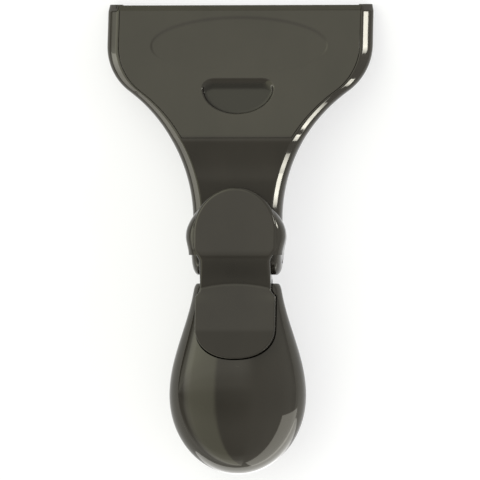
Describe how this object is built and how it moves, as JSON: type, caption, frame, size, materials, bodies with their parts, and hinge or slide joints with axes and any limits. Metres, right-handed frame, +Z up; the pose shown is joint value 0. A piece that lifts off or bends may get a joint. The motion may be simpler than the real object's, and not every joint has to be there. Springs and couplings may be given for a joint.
{
  "type": "aquarium algae scraper",
  "caption": "Hand-held aquarium glass scraper: wide blade head under a slide-off cover, tilting on a fork hinge locked by a rocking release lever, on a smooth bulb handle.",
  "frame": {"origin": "bottom centre of the bounding box, on the table that the tool lies on", "axes": "+Y from the handle to the blade, +Z up out of the lever side, +X to the right seen from above"},
  "size_m": [0.077, 0.1356, 0.0246],
  "materials": {
    "shell_plastic": "polished near-black",
    "cover_plastic": "polished near-black, oval left slightly duller",
    "core_plastic": "plain moulded",
    "nylon": "natural nylon",
    "rubber": "matt",
    "steel": "stainless",
    "blade_steel": "ground stainless"
  },
  "bodies": {
    "handle": {"handle_front_shell": "shell_plastic", "handle_rear_shell": "shell_plastic", "hinge_core": "core_plastic", "handle_screw_1": "steel", "handle_screw_2": "steel", "handle_screw_3": "steel", "pivot_bush": "nylon", "thrust_washer_right": "nylon", "thrust_washer_left": "nylon", "lever_pin": "steel", "lever_spring": "steel"},
    "head": {"head_frame": "shell_plastic", "pivot_pin": "steel", "pivot_cap_right": "shell_plastic", "pivot_cap_left": "shell_plastic", "blade": "blade_steel"},
    "cover": {"blade_cover": "cover_plastic"},
    "lever": {"release_lever": "shell_plastic", "lock_shoe_right": "rubber", "lock_shoe_left": "rubber"}
  },
  "joints": [
    {"name": "head_tilt", "type": "hinge", "parent": "handle", "child": "head", "pos_m": [0, -0.0023, 0.013], "axis": [-1, 0, 0], "range_deg": [0, 45]},
    {"name": "lever_press", "type": "hinge", "parent": "handle", "child": "lever", "pos_m": [0, -0.0132, 0.0162], "axis": [1, 0, 0], "range_deg": [0, 4], "stiffness_Nm_per_rad": 0.4, "springref_deg": -5.73, "deforming": ["lever_spring"]},
    {"name": "cover_slide", "type": "slide", "parent": "head", "child": "cover", "axis": [0, 0.9528, -0.3037], "range_m": [0, 0.04]}
  ]
}
